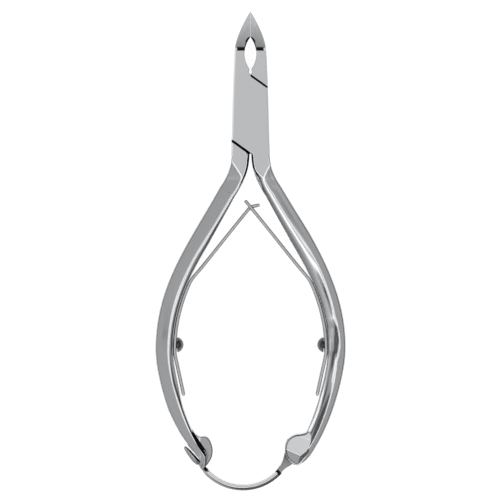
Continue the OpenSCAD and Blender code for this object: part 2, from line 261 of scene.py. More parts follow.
def back_height(y):
    """Height of the head's back: flat, an arc from start to stop, then straight to the tip."""
    radius, start, stop, lift = 45, 8, 16.6, 0.83
    curve = radius - np.sqrt(radius**2 - np.clip(y - start, 0, stop - start) ** 2)
    straight = lift + (y - stop) * (TIP_BACK - lift) / (JAW_REACH - stop)
    return np.where(y > stop, straight, curve)


# Lean of a handle's ground face, in degrees: one row for each station along the handle, one column for
# each place across it, from the inner edge at 0 to the outer edge at 1. Plus leans outwards.
LEFT_GRIND = {
    "place": [0, .05, .10, .15, .20, .25, .30, .35, .60, .66, .95, 1],
    "lean": {
        0.0: [-36, -35, -20, 10, 17, 20, 20, 20, 20, 20, 21, 24],
        0.9: [-36, -34, -12, 11, 18, 20, 20, 20, 20, 20, 21, 24],
        1.2: [-36, -33, -33, -18, 11, 17, 20, 20, 20, 20, 21, 24],
        1.4: [-34, -30, -29, -28, -17, 9, 15, 19, 20, 20, 21, 24],
        1.7: [-34, -33, -31, -21, -9, 8, 14, 19, 20, 20, 21, 24],
        1.92: [-34, -34, -32, -24, -12, 8, 17, 26, 26, 20, 21, 24],
        2.02: [-32, -32, -29, -26, -20, 8, 17, 20, 20, 20, 21, 24],
        2.15: [-24, -22, -24, -31, -30, 2, 15, 20, 20, 20, 21, 24],
        2.3: [-22, -20, -20, -33, -35, -26, 16, 20, 20, 20, 21, 24],
        2.5: [-36, -36, -36, -36, -32, 4, 17, 20, 20, 20, 21, 24],
        2.7: [-36, -36, -36, -38, -36, 12, 20, 20, 20, 20, 21, 24],
        2.8: [-44, -44, -44, -44, -38, 20, 20, 20, 20, 20, 21, 24],
    },
}
RIGHT_GRIND = {
    "place": [0, .06, .10, .15, .20, .25, .30, .35, .40, .45, .50, .55, .62, .635, .70, .76, .95, 1],
    "lean": {
        0.4: [-36, -36, -36, -34, -31, -20, -17, -13, 11, 19, 20, 20, 20, 22, 27, 21, 20, 24],
        0.8: [-34, -31, -30, -30, -21, -13, -9, 8, 13, 19, 22, 19, 17, 17, 17, 17, 18, 24],
        1.15: [-34, -30, -28, -30, -21, -16, -12, -9, 9, 15, 20, 21, 27, 27, 20, 17, 19, 24],
        1.35: [-34, -30, -28, -30, -24, -20, -18, -12, -8, 0, 8, 11, 17, 19, 21, 19, 20, 24],
        1.5: [-32, -28, -27, -28, -23, -19, -18, -17, -15, -14, -13, -9, 8, 17, 21, 19, 20, 24],
        1.65: [-32, -30, -29, -24, -19, -19, -17, -23, -35, -33, -16, 8, 17, 22, 19, 20, 20, 24],
        1.75: [-32, -31, -29, -22, -19, -19, -17, -20, -29, -28, -14, 9, 17, 22, 20, 20, 20, 24],
        1.82: [-32, -31, -28, -20, -18, -18, -17, -16, -16, -14, -9, 12, 19, 22, 21, 20, 20, 24],
        1.88: [-32, -31, -28, -20, -18, -18, -17, -16, -20, -33, -36, -34, -14, 20, 21, 20, 20, 24],
        1.95: [-32, -31, -19, -15, -19, -18, -16, -28, -35, -36, -36, -35, -32, -16, 20, 20, 20, 24],
        2.02: [-29, -26, -17, -18, -21, -26, -29, -33, -36, -36, -36, -24, 8, 20, 20, 20, 20, 24],
        2.1: [-26, -22, -15, -20, -24, -34, -38, -34, -20, -12, -8, 14, 23, 20, 20, 20, 20, 24],
        2.25: [-24, -22, -15, -21, -30, -29, -24, -25, -18, -14, -11, 8, 18, 21, 20, 20, 20, 24],
        2.4: [-24, -21, -12, -10, -22, -36, -33, -24, -27, -30, -35, -32, 4, 20, 20, 20, 20, 24],
        2.52: [-24, -21, -17, -11, -10, -22, -33, -28, -32, -35, -35, -34, -12, 20, 20, 20, 20, 24],
        2.62: [-20, -17, -15, -11, -10, -24, -33, -28, -35, -34, -34, -34, -26, 20, 20, 20, 20, 24],
        2.72: [-16, -14, -12, -12, -13, -28, -34, -25, -27, -34, -34, -34, -33, 20, 20, 20, 20, 24],
        2.9: [-9, -9, -9, -9, -9, -12, -12, -12, -12, -14, -20, -30, -34, 20, 20, 20, 20, 24],
    },
}


def ground_fall(grind, stations, places, width):
    """How far a ground face lies below its crown: the tangent of its lean, summed across its width."""
    rows = np.array(list(grind["lean"]), float)
    table = np.array(list(grind["lean"].values()), float)
    fine = np.linspace(0, 1, 241)
    lean = np.stack([np.interp(stations, rows, column) for column in table.T], axis=1)
    lean = np.stack([np.interp(fine, grind["place"], row) for row in lean])
    soft = np.hanning(5) / np.hanning(5).sum()
    lean = np.stack([np.convolve(np.pad(row, 2, mode="edge"), soft, mode="valid") for row in lean])
    fall = np.cumsum(np.tan(np.radians(lean)), axis=1) * (fine[1] - fine[0]) * width[:, None]
    fall -= fall.min(axis=1)[:, None]
    return np.stack([np.interp(place, fine, row) for place, row in zip(places, fall)])


def run_out(y):
    """How far the ground faces of a handle rise towards the head, where they run out into its flat: a
    slope that fades in smoothly, slope * k * log(1 + exp((y - start) / k))."""
    start, slope, k = -16.4, 0.33, 0.25
    return slope * k * np.logaddexp(0, (y - start) / k)


def face_points(a, b, ra, rb, ground, count=40):
    """Places across a face from a to b, and how far each is sunk at its edges. An edge is broken over a
    width of ra or rb by a chamfer at 45 degrees; where ground is 1 it is a quarter round instead, whose
    points lie at radius * (1 - cos t), sunk by radius * (1 - sin t)."""
    t = np.linspace(0, np.pi / 2, 5)
    flat = np.array([0, 0.04, 0.35, 0.7, 1.0])
    away = ground[:, None] * (1 - np.cos(t)) + (1 - ground)[:, None] * flat
    deep = ground[:, None] * (1 - np.sin(t)) + (1 - ground)[:, None] * (1 - flat)
    ra, rb = (np.minimum(r, 0.45 * (b - a))[:, None] for r in (ra, rb))
    inner = (a[:, None] + ra) + ((b - a)[:, None] - ra - rb) * np.linspace(0, 1, count + 2)[1:-1]
    places = np.hstack([a[:, None] + ra * away, inner, (b[:, None] - rb * away)[:, ::-1]])
    return places, np.hstack([ra * deep, 0 * inner, (rb * deep)[:, ::-1]])


def layer(at, across, a, b, ra, rb, side, inner, grind, stations, crown, count=40):
    """One layer of a half: stations along the tool, each a strip from a to b across it. Its outer face,
    at the front for side 1 and at the back for side -1, follows the head and then the handle's grind,
    whose highest line lies at the crown's height. Its inner face is flat, at height inner."""
    u, sunk = face_points(a, b, ra, rb, np.clip((ROOT[1] - at[:, 1]) / 2, 0, 1), count)
    x = at[:, :1] + across[:, :1] * u
    y = at[:, 1:] + across[:, 1:] * u
    width = thickness(stations)
    place = u / width[:, None] + 0.5
    ground = crown(stations)[:, None] - ground_fall(grind, stations, place, width) + run_out(y)
    ground = np.where(at[:, 1:] > ROOT[1], HEAD_T + 1, ground)
    # The fork between the handles is broken by a bevel that fades into the ground faces
    bevel = np.interp(-at[:, 1], [9.6, 10.4, 17, 18.5], [0, 0.5, 0.5, 0])[:, None]
    sunk = sunk + BEVEL_SLOPE * np.maximum(bevel - (u - a[:, None]), 0)
    if side > 0:
        z = np.minimum(front_height(y), ground) - sunk
    else:
        z = np.maximum(back_height(y), HEAD_T - ground) + sunk
    return closed(x, y, z, np.full((len(z), 2), inner))


def closed(x, y, z, floor):
    """Rings of a strip: its face, then a floor given by its height under the last and the first point."""
    return np.stack([np.hstack([x, x[:, -1:], x[:, :1]]), np.hstack([y, y[:, -1:], y[:, :1]]),
                     np.hstack([z, floor])], axis=-1)


def blade(name, inner, outer, grind, crown, edge, steps=60, count=30):
    """A piece ground on both faces between two outlines with equally many points: lines run from one to
    the other at even steps, and the two faces mirror each other about the middle of the tool."""
    t = np.linspace(0, 1, steps)
    near, far = spread(inner, t), spread(outer, t)
    width = np.linalg.norm(far - near, axis=1)
    across = (far - near) / width[:, None]
    u, sunk = face_points(0 * width, width, 0 * width + edge, 0 * width + edge, np.ones(steps), count)
    tall = np.interp(t, np.linspace(0, 1, len(crown)), crown)[:, None] / 2
    z = tall - ground_fall(grind, t, u / width[:, None], width) - sunk
    x, y = near[:, :1] + across[:, :1] * u, near[:, 1:] + across[:, 1:] * u
    return loft(name, np.stack([np.hstack([x, x[:, ::-1]]), np.hstack([y, y[:, ::-1]]),
                                MID + np.hstack([z, -z[:, ::-1]])], axis=-1))


def half(name, grind, lap, crown, edges, last):
    """One half, worked out as the front half has it: jaw on the left, lap on the side given by lap (1
    front, -1 back), handle on the right. Three layers meet: the lap runs from the jaw's tip down the
    handle, and behind it lie the rest of the jaw and the rest of the handle. edges gives how far from
    its centre line the handle reaches inwards and outwards, by station."""
    y = np.concatenate([
        np.linspace(JAW_REACH - 0.1, STEP_Y + 0.3, 64), np.linspace(STEP_Y, STEP_Y - STEP_DROP, 8),
        np.linspace(STEP_Y - 1.2, ROOT[1], 190),
        [THROAT_TOP, JAW_SEAM_Y - JAW_SEAM_RISE, LEG_SEAM_Y + LEG_SEAM_RISE],
    ])
    y = np.unique(np.round(y, 4))[::-1]
    s = np.concatenate([
        np.linspace(0, 1, 46)[1:], np.linspace(1, 2, 100)[1:], np.linspace(2, last, 70)[1:],
    ])
    line = handle_line(s)
    at = np.vstack([np.column_stack([np.full(len(y), ROOT[0]), y]), line])
    across = np.vstack([np.tile([1.0, 0.0], (len(y), 1)), outward(headings(line))])
    stations = np.append(0 * y, s)
    near_edge, far_edge = edges(s)
    side = head_side(y)
    # Edges: broken at the rim of the head, sharper along the seams
    rim = np.interp(-y, [-JAW_REACH, -19, -12, -ROOT[1]], [0.05, 0.22, 0.38, 0.38])
    sharp = 0.13

    left = np.maximum(-side, np.minimum(LEG_GAP, -(y - LEG_SEAM_Y - LEG_SEAM_RISE) / LEG_SEAM_SLOPE))
    seam = (JAW_SEAM_Y - JAW_SEAM_RISE - y) / JAW_SEAM_SLOPE
    right = np.where(y > JAW_SEAM_Y - JAW_SEAM_RISE, -opening(y),
                     np.minimum(side, np.maximum(seam, -EDGE_GAP / 2)))
    r_left = np.where(left > -side, 0.16, rim)
    lip = np.interp(y, [STEP_Y, 16.5, 17.3, 18.1, 18.8, THROAT_TOP], [0.12, 0.14, 0.22, 0.5, 0.42, 0.05])
    r_right = np.where(right < side, np.where(y > JAW_SEAM_Y, lip, sharp), rim)
    a = np.append(left - ROOT[0], -near_edge)
    b = np.append(right - ROOT[0], far_edge)
    ra = np.append(r_left, np.interp(s, [0, 0.3], [sharp, 0.16]))
    rb = np.append(r_right, np.interp(s, [0, 0.4], [0.38, 0.45]))
    inner = MID + lap * LAP_GAP / 2
    behind = MID + lap * LAP_GAP
    piece = loft(name, flip(layer(at, across, a, b, ra, rb, lap, inner, grind, stations, crown), lap))

    # The rest of the jaw, down to its seam
    edge = np.minimum(-opening(y), (y - JAW_SEAM_Y - JAW_SEAM_RISE) / JAW_SEAM_SLOPE)
    there = edge > -side + 0.05
    r_edge = np.where(edge < -opening(y), sharp, lip)
    jaw = layer(at[:len(y)][there], across[:len(y)][there], (-side - ROOT[0])[there],
                (edge - ROOT[0])[there], rim[there], r_edge[there], -lap, behind, grind,
                0 * y[there], crown, 30)

    # The rest of the handle, up to its seam
    start = np.maximum((y - LEG_SEAM_Y + LEG_SEAM_RISE) / LEG_SEAM_SLOPE, LEG_GAP)
    there = start < side - 0.05
    keep = np.append(there, s > 0)
    leg_a = np.append(start - ROOT[0], -near_edge)[keep]
    leg_ra = np.append(np.full(len(y), sharp), ra[len(y):])[keep]
    leg_rb = np.append(rim, rb[len(y):])[keep]
    leg_b = np.append(side - ROOT[0], far_edge)[keep]
    leg = layer(at[keep], across[keep], leg_a, leg_b, leg_ra, leg_rb, -lap, behind, grind,
                stations[keep], crown)
    return joined(piece, [loft("jaw", flip(jaw, lap)), loft("leg", flip(leg, lap))])


def flip(rings, lap):
    """The back half is the front half turned over: its jaw lies on the other side."""
    return rings * [lap, 1, 1]


def block(name, near, far, low, high):
    """A block between two corners in the plane of the tool, from low to high."""
    (x0, y0), (x1, y1) = near, far
    return plate(name, [[x0, y0], [x1, y0], [x1, y1], [x0, y1]], low, high)


def pin(name, at, radius, low, high):
    """An upright pin or hole."""
    return lathe(name, [(low, radius), (high, radius)], [at[0], at[1], 0], [0, 0, 1])


def boss(name, outline, low, face, edge, bevel, count=14):
    """A forged boss: its outline drawn in towards the middle ring by ring, each ring at the height that
    face gives for its points. The rim is rounded over the edge's width, then bevelled; the back is flat
    at height low."""
    outline = np.asarray(outline, float)
    middle = outline.mean(axis=0)
    turn = np.linspace(0, np.pi / 2, 5)
    rims = [(inset(outline, edge * (1 - np.sin(t))), edge * (1 - np.cos(t))) for t in turn]
    loops = [(middle + (outline - middle) * k, low) for k in (0.02, 0.5)]
    loops += [(ring, low + sunk) for ring, sunk in rims]
    loops += [(ring, face(ring) - sunk - BEVEL_SLOPE * bevel) for ring, sunk in rims[::-1]]
    core = inset(outline, edge + bevel)
    inner = [middle + (core - middle) * k for k in np.linspace(1, 0.02, count + 1)]
    loops += [(ring, face(ring)) for ring in inner]
    return loft(name, np.stack([np.column_stack([ring, ring[:, 0] * 0 + z]) for ring, z in loops]))


def smooth_loop(points, count=90):
    """A closed curve through points: a Catmull-Rom spline, read at even steps of its parameter."""
    p = np.asarray(points, float)
    t = np.linspace(0, len(p), count, endpoint=False)
    k, f = t.astype(int), (t % 1)[:, None]
    a, b, c, d = (p[(k + o) % len(p)] for o in (-1, 0, 1, 2))
    return 0.5 * (2 * b + (c - a) * f + (2 * a - 5 * b + 4 * c - d) * f**2 + (3 * b - a - 3 * c + d) * f**3)


# ---- handle ends ----

def off_line(points, line):
    """Signed distance of points from a line of straight pieces, plus on its left going along it."""
    points, line = np.asarray(points, float), np.asarray(line, float)
    start, step = line[:-1], np.diff(line, axis=0)
    away = points[:, None] - start
    along = np.clip((away * step).sum(-1) / (step**2).sum(-1), 0, 1)
    gap = away - along[..., None] * step
    far = np.linalg.norm(gap, axis=-1)
    near = far.argmin(axis=1)
    cross = step[:, 0] * away[..., 1] - step[:, 1] * away[..., 0]
    pick = np.arange(len(points))
    return far[pick, near] * np.sign(cross[pick, near])


def right_crown(stations):
    """Height of the highest line of the right handle's grind: it drops beside the knob."""
    return np.interp(stations, [2.55, 2.8, 2.93, 3.0, 3.12], [5.5, 5.05, 4.75, 4.52, 4.3])


def right_edges(stations):
    """The right handle keeps its thickness to the end."""
    return thickness(stations) / 2, thickness(stations) / 2


def left_crown(stations):
    """Height of the highest line of the left handle's grind: it drops towards the nose."""
    return np.interp(stations, [2.55, 2.8, 3.0], [5.5, 5.1, 5.0])


def left_edges(stations):
    """The left handle narrows from both sides towards its nose."""
    half_t = thickness(stations) / 2
    outer = np.interp(stations, [2.45, 2.6, 2.7, 2.8, 2.9, 3.0], [2.2, 1.72, 1.42, 1.0, 0.76, 0.92])
    less = np.interp(stations, [2.3, 2.5, 2.75, 2.9], [0, 0.38, 0.3, 0.1])
    return half_t - less, np.minimum(half_t, outer)


def right_knob():
    """Boss round the latch's hinge. An upper flat and a lower facet that leans down the tool meet in a
    ridge; on the outer side a steep flank drops to the band that the handle's grind carries round."""
    rim = [[8.62, -83.9], [8.9, -82.4], [9.7, -81.2], [11.1, -80.4], [12.7, -80.2], [13.8, -79.9],
           [14.7, -79.3], [15.7, -79.6], [16.1, -81.2], [15.8, -83.0], [15.0, -84.8], [13.8, -86.3],
           [12.9, -87.4], [12.0, -88.1], [10.9, -87.7], [9.6, -86.7], [8.85, -85.4]]
    border = [[14.6, -78.6], [15.2, -80.9], [15.05, -81.8], [14.6, -83.4], [13.9, -84.4], [12.55, -85.45],
              [11.4, -88.4]]
    ridge = np.array([9.4, -84.05])

    def face(p):
        """Height of the lower facet or the upper flat, less the drop down the outer flank."""
        lower = (p - ridge) @ [-0.42, -0.907]
        facet = 5.27 - np.where(lower > 0, 0.37 * lower, -0.105 * lower)
        facet = facet - 0.16 * np.maximum((p - [14.3, -81.4]) @ [0.35, 0.94], 0)
        return np.minimum(facet, MID + KNOB_D / 2 + 0.05) - 0.58 * np.maximum(off_line(p, border), 0)
    return boss("knob", smooth_loop(rim, 140), MID - KNOB_D / 2 + 0.1, face, 0.12, 0.3, 34)


def left_knob():
    """Half-round boss beside the nose; its face leans inwards, below the face of the nose."""
    rim = [[-14.6, -79.2], [-13.8, -80.15], [-12.6, -80.85], [-11.4, -80.8], [-10.55, -81.25],
           [-9.85, -82.4], [-9.42, -84.2], [-9.6, -85.9], [-10.2, -87.1], [-11.2, -88.25], [-12.1, -87.6],
           [-13.0, -85], [-14.4, -82.0]]

    def face(p):
        """Height: level, then falling towards the middle of the tool."""
        return 4.75 - 0.36 * np.maximum(p[:, 0] + 12.6, 0)
    return boss("knob", smooth_loop(rim, 110), MID - KNOB_D * 0.47, face, 0.1, 0.12, 20)


NOSE_GRIND = {"place": [0, .1, .2, 1], "lean": {0: [20, 20, 20, 20], 1: [10, 18, 20, 22]}}


def nose():
    """The end of the left handle's ground band, turned down to the point that the latch closes on."""
    inner = [[-12.9, -83.5], [-11.6, -85.35], [-11.28, -86.05], [-11.3, -87.3], [-11.9, -88.7]]
    outer = [[-14.4, -84.4], [-12.95, -86.15], [-12.6, -87.0], [-12.6, -87.9], [-12.45, -88.85]]
    return blade("nose", inner, outer, NOSE_GRIND, [4.4, 4.52, 4.5, 4.4, 4.3], 0.08)


TRENCH_LEFT = [[-14.75, -79.7], [-14.1, -81.3], [-13.35, -82.8], [-12.4, -84.2], [-11.6, -85.3],
               [-11.22, -86], [-11.27, -87.4], [-11.6, -88.6]]
TRENCH_RIGHT = [[-14.2, -79.7], [-13.15, -81.2], [-12.4, -82.3], [-11.6, -83.5], [-10.8, -84.5],
                [-10.5, -85.6], [-10.8, -87.1], [-11.4, -88.6]]


def crevice():
    """Trench between the nose and the left knob, left rough from the forge: its floor rises down the tool
    and away from the nose, and is uneven by the product of two waves."""
    t = np.linspace(0, 1, 90)
    near, far = spread(TRENCH_LEFT, t), spread(TRENCH_RIGHT, t)
    u = np.linspace(0, 1, 14)
    x, y = (near[:, k:k + 1] + (far - near)[:, k:k + 1] * u for k in (0, 1))
    rise = np.clip(4 * t - 1.3, 0, 1)[:, None] * np.clip(5 * u - 0.6, 0, 1)
    floor = 3.7 + 0.34 * rise + 0.09 * np.sin(9 * x + 3 * y) * np.sin(8 * y - 2 * x)
    return loft("crevice", closed(x, y, floor, np.full((len(t), 2), 6.4)))


def fork_slot(outline):
    """Slot that forks a handle end, cut right across it at half depth."""
    return plate("fork", outline, MID - FORK_GAP / 2, MID + FORK_GAP / 2)


def screw_hole(hand):
    """Blind hole for a spring screw, through a handle's inner face; hand is 1 on the right."""
    return lathe("hole", [(14, SCREW_R), (SEAT[0] + 3.2, SCREW_R)], [0, SEAT[1], MID], [hand, 0, 0])


def front_half():
    """Left jaw, front lap and right handle, with the knob that is forked for the latch's ear."""
    piece = half("front_half", RIGHT_GRIND, 1, right_crown, right_edges, 3.12)
    joined(piece, [right_knob()])
    slot = [[3, -81.4], [14.2, -81.4], [16.4, -82.6], [17.5, -84.2], [17.5, -95], [3, -95]]
    rivet = pin("hole", [0, 0], RIVET_R + PRESS, -1, HEAD_T - RIVET_COVER)
    hinge = pin("hole", HINGE, PIN_R + PRESS, -1, PIN_TOP)
    return joined(piece, [fork_slot(slot), screw_hole(1), rivet, hinge], "DIFFERENCE")


def back_half():
    """Right jaw, back lap and left handle, with the nose that is forked for the latch's neck."""
    piece = half("back_half", LEFT_GRIND, -1, left_crown, left_edges, 3.0)
    joined(piece, [nose(), left_knob()])
    hollow = fork_slot([[-19, -84], [-19, -95], [-5, -95], [-5, -84]])
    reach = LATCH_R - LATCH_T / 2 - 0.5
    core = lathe("core", [(-1, reach), (7, reach)], [*LATCH_CENTRE, 0], [0, 0, 1], 180)
    hollow = joined(hollow, [core], "DIFFERENCE")
    wide, narrow = RIVET_HEAD_R + PLAY, RIVET_R + PLAY
    countersink = lathe("hole", [(-0.5, wide), (0, wide), (RIVET_HEAD_R - RIVET_R, narrow), (4, narrow)],
                        [0, 0, 0], [0, 0, 1])
    return joined(piece, [hollow, screw_hole(-1), countersink, crevice()], "DIFFERENCE")


# ---- rivet and pin ----

def pivot_rivet():
    """Countersunk rivet: its head is flush with the back and slightly dished, with a turned groove."""
    deep = RIVET_HEAD_R - RIVET_R
    profile = [(0.10, 0.02), (0.09, 0.6), (0.05, 1.2), (0.02, 1.9), (0.02, 2.0), (0.12, 2.05), (0.12, 2.15),
               (0.02, 2.2), (0.0, 2.3), (0.0, RIVET_HEAD_R - 0.08), (0.06, RIVET_HEAD_R), (deep, RIVET_R),
               (HEAD_T - 1.0, RIVET_R), (HEAD_T - 0.85, RIVET_R - 0.15), (HEAD_T - 0.85, 0.02)]
    return lathe("pivot_rivet", profile, [0, 0, 0], [0, 0, 1], 96)


def latch_pin():
    """Hinge pin pressed in from the back, where its end is peened over; it stops short of the front."""
    low, high = MID - KNOB_D / 2, PIN_TOP - 0.02
    profile = [(low + 0.02, 0.02), (low, 0.3), (low, 0.55), (low + 0.08, 0.68), (low + 0.2, PIN_R),
               (high - 0.2, PIN_R), (high - 0.08, 0.68), (high, 0.55), (high, 0.3), (high - 0.02, 0.02)]
    return lathe("latch_pin", profile, [*HINGE, 0], [0, 0, 1], 48)


# ---- springs and their screws ----

def seat(stations):
    """Where the strip's centre line lies on the right handle's inner face."""
    line = handle_line(stations)
    step = handle_line(stations + 0.001) - handle_line(stations - 0.001)
    way = step / np.linalg.norm(step, axis=1)[:, None]
    return line - outward(way) * (thickness(stations) / 2 + LEAF_T / 2 + SEAT_GAP)[:, None]


# Where a screw passes through the strip, the bend at the end of the free arm, and the tail's end
SEAT = seat(np.array([1.976]))[0]
BEND, LEAN, TAIL = np.array([12.4, -38.9]), 39.5, np.array([16.6, -70.7])


def spring_line(lead):
    """The right spring's centre line: its tip, the free arm, the bend that lifts off the handle, the
    stretch that lies on the handle, and the tail."""
    lie = seat(np.linspace(1.58, 2.06, 40))
    way = lie[1] - lie[0]
    way /= np.linalg.norm(way)
    arm = bezier([[0, CROSS_Y], [4.3, CROSS_Y - 5.2], BEND - 5 * down(LEAN), BEND], np.linspace(0, 1, 44))
    lift = bezier([BEND, BEND + 2 * down(LEAN), lie[0] - 1.6 * way, lie[0]], np.linspace(0, 1, 24))
    end = lie[-1] + np.linspace(0, 1, 24)[1:, None] * (TAIL - lie[-1])
    return np.vstack([lead, arm[1:], lift[1:], lie[1:], end])


def strip(name, line, width):
    """A spring strip carried along its centre line. Its section is a rectangle of LEAF_T by the width at
    each point, with every corner a quarter circle of radius rim; both ends are rounded in the same way."""
    rim = 0.3
    quarter = np.radians(np.arange(0, 91, 22.5))
    corners = [(1, 1, 0), (-1, 1, 90), (-1, -1, 180), (1, -1, 270)]
    u = np.concatenate([(LEAF_T / 2 - rim) * sx + rim * np.cos(quarter + np.radians(a))
                        for sx, _, a in corners])
    sz = np.repeat([sy for _, sy, _ in corners], len(quarter))
    v = np.concatenate([rim * np.sin(quarter + np.radians(a)) for _, _, a in corners])
    normal = outward(headings(line))
    span = np.concatenate([[0], np.cumsum(np.linalg.norm(np.diff(line, axis=0), axis=1))])
    close = np.minimum(span, span[-1] - span)
    shrink = np.sqrt(np.clip(1 - (1 - np.clip(close / 0.25, 0, 1)) ** 2, 0.12, 1))
    half_w = (width / 2 - rim)[:, None] * sz + v
    x = line[:, :1] + normal[:, :1] * u * shrink[:, None]
    y = line[:, 1:] + normal[:, 1:] * u * shrink[:, None]
    z = MID + half_w * (1 - 0.06 * (1 - shrink[:, None]))
    return loft(name, np.stack([x, y, z], axis=-1))


def fine_tip(points):
    """A tip's centre line with closer points where its end is rounded."""
    p = np.asarray(points, float)
    first = p[0] + (p[1] - p[0]) * np.linspace(0, 0.35, 6)[:, None]
    return np.vstack([first, p[1:]])


def strip_hole():
    """Hole through a strip for its screw, a little wider than the screw."""
    return lathe("hole", [(10, SCREW_R + 0.1), (25, SCREW_R + 0.1)], [0, SEAT[1], MID], [1, 0, 0])


def left_spring():
    """Its tip narrows evenly to a tongue that passes through the right spring's slot."""
    lead = fine_tip([[-2.35, CROSS_Y + 0.55], [-1.75, CROSS_Y + 0.42], [-1.2, CROSS_Y + 0.3],
                     [-0.45, CROSS_Y + 0.15]])
    line = spring_line(lead)
    narrow = np.clip((line[:, 1] - (CROSS_Y - 10)) / 8, 0, 1)
    width = LEAF_W + (TONGUE_W - LEAF_W) * narrow
    piece = joined(strip("left_spring", line, width), [strip_hole()], "DIFFERENCE")
    return mirrored(piece)


def right_spring():
    """Its tip has a slot for the tongue of the left spring."""
    lead = fine_tip([[-1.35, CROSS_Y + 1.65], [-1.0, CROSS_Y + 1.22], [-0.65, CROSS_Y + 0.8],
                     [-0.3, CROSS_Y + 0.37]])
    line = spring_line(lead)
    piece = strip("right_spring", line, np.full(len(line), LEAF_W))
    window = block("window", [-0.6, CROSS_Y - 1.7], [1.6, CROSS_Y + 0.9], MID - SLOT_W / 2,
                   MID + SLOT_W / 2)
    return joined(piece, [strip_hole(), window], "DIFFERENCE")


def mirrored(piece):
    """The piece turned into its opposite hand."""
    piece.data.transform(((-1, 0, 0, 0), (0, 1, 0, 0), (0, 0, 1, 0), (0, 0, 0, 1)))
    piece.data.flip_normals()
    return piece


def spring_screw(hand):
    """Slotted round-head screw, its head towards the middle: a dome with a rolled rim and a short neck."""
    # The strip is hollow under the head, so the head's rim stands a little off its middle
    face = SEAT[0] - LEAF_T / 2 - 0.16
    dome_r = (SCREW_HEAD_R**2 + SCREW_HEAD_H**2) / (2 * SCREW_HEAD_H)
    apex = face - SCREW_HEAD_H
    t = np.linspace(0.02, 0.9 * np.arcsin(SCREW_HEAD_R / dome_r), 16)
    profile = [(apex + dome_r * (1 - np.cos(a)), dome_r * np.sin(a)) for a in t]
    shank = face + 3.7
    profile += [(face - 0.12, SCREW_HEAD_R - 0.01), (face - 0.04, SCREW_HEAD_R - 0.06),
                (face, SCREW_HEAD_R - 0.16), (face, SCREW_R), (shank - 0.2, SCREW_R),
                (shank, SCREW_R - 0.2), (shank, 0.02)]
    piece = lathe("screw", profile, [0, SEAT[1], MID], [1, 0, 0])
    deep, half_slot = 0.6, 0.25
    slot = block("slot", [apex - 1, SEAT[1] - 5], [apex + deep, SEAT[1] + 5], MID - half_slot,
                 MID + half_slot)
    joined(piece, [slot], "DIFFERENCE")
    return piece if hand > 0 else mirrored(piece)


# ---- latch ----

# Leans of the latch's faces. As on the handles, columns run from the inner edge to the outer. Rows run
# along the bar from left to right, along the tab from root to tip, and up the ear.
BAR_GRIND = {
    "place": [0, .1, .2, .4, .5, .6, .72, .85, 1],
    "lean": {
        0.0: [-24, -18, -5, -4, 17, 19, 20, 20, 22],
        0.15: [-24, -17, -5, -4, 24, 28, 23, 20, 20],
        0.35: [-24, -18, -5, -3, 20, 28, 28, 21, 20],
        0.6: [-22, -14, -4, -3, 31, 34, 34, 27, 20],
        1.0: [-20, -12, -4, -3, 30, 35, 37, 30, 24],
    },
}
TAB_GRIND = {
    "place": [0, .16, .22, .3, .38, .46, 1],
    "lean": {0: [-50, -50, -50, -50, -30, 19, 22], 0.6: [-50, -50, -40, 0, 18, 20, 22],
             1: [-50, -40, 10, 18, 20, 20, 22]},
}
EAR_GRIND = {"place": [0, .2, .3, 1], "lean": {0: [30, 22, 20, 18], 1: [24, 22, 20, 18]}}


def latch_tab(name, depth):
    """Thumb tab: a leaf whose half-widths swell by sqrt(1.06 - k^2) along its length."""
    root, tip = np.array([-12.95, -87.7]), np.array([-16.5, -83.5])
    along = (tip - root) / np.linalg.norm(tip - root)
    side = np.array([-along[1], along[0]])
    k = np.linspace(0, 1, 14)[:, None]
    bulge = np.sqrt(1.06 - k**2)
    outer = 0.75 * bulge * (0.55 + 0.45 * np.clip(k / 0.25, 0, 1))
    middle = root + (tip - root) * k
    return blade(name, middle - side * 0.68 * bulge, middle + side * outer, TAB_GRIND, [depth, depth],
                 0.08, 60, 20)


def nose_way():
    """Zone that the nose's point passes through on its way out, seen from the latch. Its way is at right
    angles to the sum of its place from the pivot and LATCH_RATIO times its place from the hinge."""
    point = np.array([-12.35, -88.8])
    swing = point + LATCH_RATIO * (point - HINGE)
    way = np.array([swing[1], -swing[0]]) / np.linalg.norm(swing)
    off = np.array([-way[1], way[0]])
    start = point + 0.2 * off
    return plate("clear", [start - 10 * way, start + 20 * way, start + 20 * way - 20 * off,
                           start - 10 * way - 20 * off], -1, 7)


